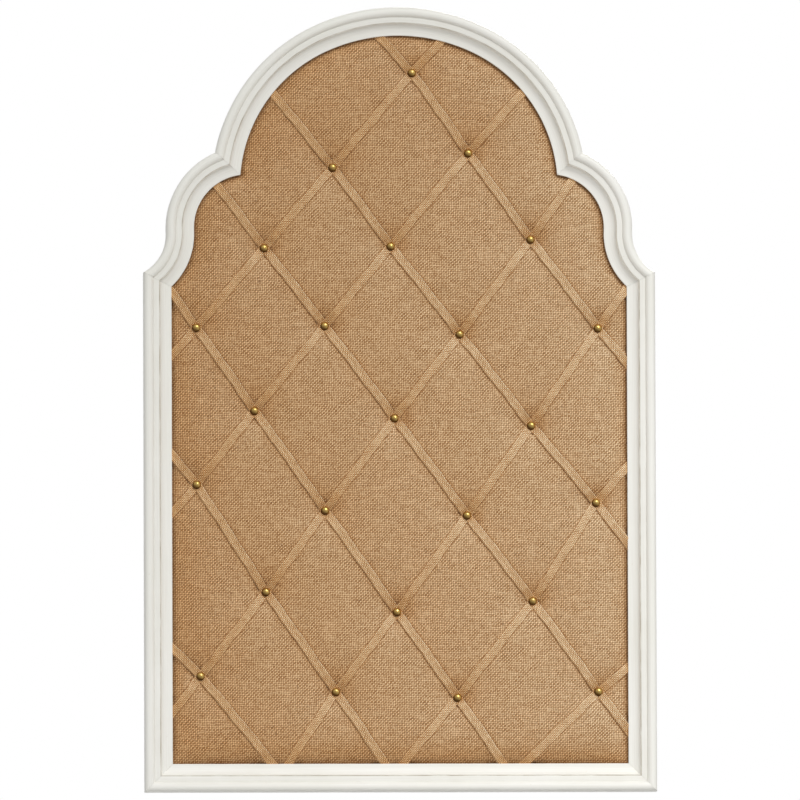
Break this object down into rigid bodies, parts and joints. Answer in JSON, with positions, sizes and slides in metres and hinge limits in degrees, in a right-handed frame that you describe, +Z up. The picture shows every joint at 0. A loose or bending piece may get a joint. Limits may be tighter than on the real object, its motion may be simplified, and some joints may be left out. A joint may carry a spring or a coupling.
{
  "type": "bulletin board",
  "caption": "Arched wall memo board: painted moulded frame round a padded burlap panel, crossed by ribbons nailed at each crossing that hold cards, hung by D-rings on the back.",
  "frame": {"origin": "on the wall plane, midway between the two wall hooks that the D-rings hang on", "axes": "+Z up, +X to the viewer's right, the front of the board faces -Y and the wall is at Y = 0"},
  "size_m": [0.61, 0.0389, 0.936],
  "materials": {
    "painted_wood": "satin off-white paint, lightly brushed",
    "spline_wood": "bare sawn wood",
    "hardboard": "smooth brown hardboard",
    "fibreboard": "bare fibreboard",
    "batting": "loose cotton wadding",
    "burlap": "plain-weave natural burlap",
    "ribbon_tape": "fine plain-weave jute tape",
    "nail_brass": "aged brass",
    "hanger_steel": "bright zinc plate",
    "bumper_rubber": "matt black"
  },
  "bodies": {
    "board": {"bottom_rail": "painted_wood", "left_stile": "painted_wood", "right_stile": "painted_wood", "left_shoulder": "painted_wood", "right_shoulder": "painted_wood", "crown_arch": "painted_wood", "spline_bottom_left": "spline_wood", "spline_bottom_right": "spline_wood", "spline_left_waist": "spline_wood", "spline_right_waist": "spline_wood", "spline_left_cusp": "spline_wood", "spline_right_cusp": "spline_wood", "back_cover": "hardboard", "core_board": "fibreboard", "batting": "batting", "burlap_cover": "burlap", "ribbon_right_1": "ribbon_tape", "ribbon_right_2": "ribbon_tape", "ribbon_right_3": "ribbon_tape", "ribbon_right_4": "ribbon_tape", "ribbon_right_5": "ribbon_tape", "ribbon_right_6": "ribbon_tape", "ribbon_left_1": "ribbon_tape", "ribbon_left_2": "ribbon_tape", "ribbon_left_3": "ribbon_tape", "ribbon_left_4": "ribbon_tape", "ribbon_left_5": "ribbon_tape", "ribbon_left_6": "ribbon_tape", "nail_a1": "nail_brass", "nail_b1": "nail_brass", "nail_b2": "nail_brass", "nail_c1": "nail_brass", "nail_c2": "nail_brass", "nail_c3": "nail_brass", "nail_d1": "nail_brass", "nail_d2": "nail_brass", "nail_d3": "nail_brass", "nail_d4": "nail_brass", "nail_e1": "nail_brass", "nail_e2": "nail_brass", "nail_e3": "nail_brass", "nail_f1": "nail_brass", "nail_f2": "nail_brass", "nail_f3": "nail_brass", "nail_f4": "nail_brass", "nail_g1": "nail_brass", "nail_g2": "nail_brass", "nail_g3": "nail_brass", "nail_h1": "nail_brass", "nail_h2": "nail_brass", "nail_h3": "nail_brass", "nail_h4": "nail_brass", "left_hanger_strap": "hanger_steel", "right_hanger_strap": "hanger_steel", "left_hanger_screw": "hanger_steel", "right_hanger_screw": "hanger_steel", "left_wall_bumper": "bumper_rubber", "right_wall_bumper": "bumper_rubber"},
    "left_ring": {"left_hanger_ring": "hanger_steel"},
    "right_ring": {"right_hanger_ring": "hanger_steel"}
  },
  "joints": [
    {"name": "left_ring_swing", "type": "hinge", "parent": "board", "child": "left_ring", "pos_m": [-0.293, -0.00395, -0.01367], "axis": [-1, 0, 0], "range_deg": [0, 185]},
    {"name": "right_ring_swing", "type": "hinge", "parent": "board", "child": "right_ring", "pos_m": [0.293, -0.00395, -0.01367], "axis": [-1, 0, 0], "range_deg": [0, 185]}
  ]
}
